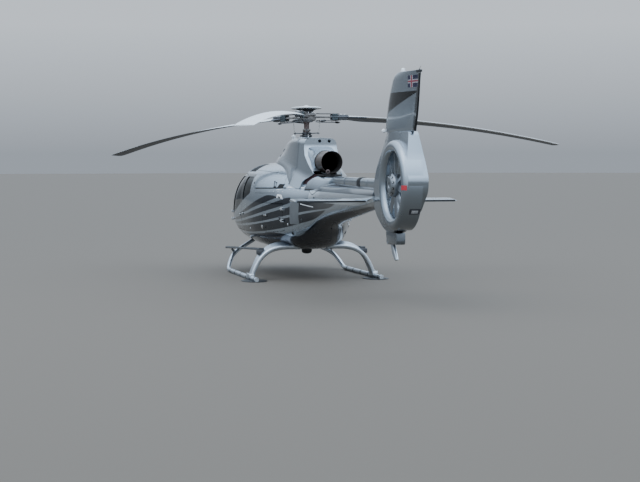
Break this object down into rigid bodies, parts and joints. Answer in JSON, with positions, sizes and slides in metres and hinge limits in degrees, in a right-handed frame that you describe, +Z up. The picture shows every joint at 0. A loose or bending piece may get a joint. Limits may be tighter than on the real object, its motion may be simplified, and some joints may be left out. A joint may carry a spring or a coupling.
{
  "type": "helicopter with shrouded tail rotor",
  "caption": "Light helicopter on skids with a bubble cabin, hinged doors, a main rotor on a leaning mast and a tail fan turning in a shrouded fin.",
  "frame": {"origin": "centre of the flat underside of the pad under the belly, on the centreline below the rotor mast", "axes": "+X to the nose, +Y to the left, +Z up; the ground the skids stand on is at Z = -0.45 m"},
  "size_m": [11.5746, 8.5885, 3.665],
  "materials": {
    "silver_paint": "gloss metallic",
    "dark_paint": "gloss metallic",
    "blade_paint": "satin",
    "bare_metal": "satin",
    "dark_metal": "satin",
    "steel": "satin",
    "burnt_steel": "matt",
    "black_parts": "matt",
    "glass": "gloss",
    "leather": "satin"
  },
  "bodies": {
    "airframe": {"belly_pan": "dark_paint", "nose_frame": "silver_paint", "cabin_roof": "silver_paint", "left_side_frame": "silver_paint", "right_side_frame": "silver_paint", "aft_fuselage": "dark_paint", "tail_boom": "silver_paint", "left_rear_door": "silver_paint", "left_rear_door_window": "glass", "left_windshield": "glass", "right_windshield": "glass", "left_chin_window": "glass", "right_chin_window": "glass", "left_roof_window": "glass", "right_roof_window": "glass", "gearbox_cowl": "silver_paint", "engine_cowl": "silver_paint", "exhaust_nozzle": "burnt_steel", "engine_block": "steel", "main_gearbox": "steel", "exhaust_deck": "silver_paint", "drive_shaft_cover": "silver_paint", "tail_fan_shroud": "silver_paint", "tail_fan_stator": "silver_paint", "vertical_fin": "silver_paint", "ventral_fin": "silver_paint", "tail_skid": "bare_metal", "left_stabiliser": "silver_paint", "right_stabiliser": "silver_paint", "left_skid": "bare_metal", "right_skid": "bare_metal", "left_rear_leg": "bare_metal", "right_rear_leg": "bare_metal", "left_step": "dark_metal", "right_step": "dark_metal", "belly_hook_pad": "black_parts", "left_front_seat": "leather", "right_front_seat": "leather", "rear_bench": "leather", "instrument_console": "black_parts", "cyclic_stick": "black_parts"},
    "main_rotor": {"rotor_mast": "steel", "rotor_hub": "black_parts", "hub_dome": "silver_paint", "main_blade_1": "blade_paint", "main_blade_2": "blade_paint", "main_blade_3": "blade_paint"},
    "tail_rotor": {"tail_fan_rotor": "steel"},
    "front_door_left": {"left_front_door": "silver_paint", "left_front_door_window": "glass"},
    "front_door_right": {"right_front_door": "silver_paint", "right_front_door_window": "glass"},
    "rear_door_right": {"right_rear_door": "silver_paint", "right_rear_door_window": "glass"},
    "baggage_door_left": {"left_baggage_door": "dark_paint"},
    "baggage_door_right": {"right_baggage_door": "dark_paint"}
  },
  "joints": [
    {"name": "main_rotor_spin", "type": "hinge", "parent": "airframe", "child": "main_rotor", "pos_m": [0, 0, 2.615], "axis": [0.0523, 0, 0.9986], "continuous": true},
    {"name": "tail_rotor_spin", "type": "hinge", "parent": "airframe", "child": "tail_rotor", "pos_m": [-6.385, 0, 1.435], "axis": [0, 1, 0], "continuous": true},
    {"name": "front_door_left_hinge", "type": "hinge", "parent": "airframe", "child": "front_door_left", "pos_m": [2.505, 0.975, 0.75], "axis": [0, 0, -1], "range_deg": [0, 70]},
    {"name": "front_door_right_hinge", "type": "hinge", "parent": "airframe", "child": "front_door_right", "pos_m": [2.505, -0.975, 0.75], "axis": [0, 0, 1], "range_deg": [0, 70]},
    {"name": "rear_door_right_hinge", "type": "hinge", "parent": "airframe", "child": "rear_door_right", "pos_m": [0.425, -0.978, 0.75], "axis": [0, 0, -1], "range_deg": [0, 80]},
    {"name": "baggage_door_left_hinge", "type": "hinge", "parent": "airframe", "child": "baggage_door_left", "pos_m": [-0.767, 0.674, 0.85], "axis": [0, 0, 1], "range_deg": [0, 90]},
    {"name": "baggage_door_right_hinge", "type": "hinge", "parent": "airframe", "child": "baggage_door_right", "pos_m": [-0.767, -0.674, 0.85], "axis": [0, 0, -1], "range_deg": [0, 90]}
  ]
}
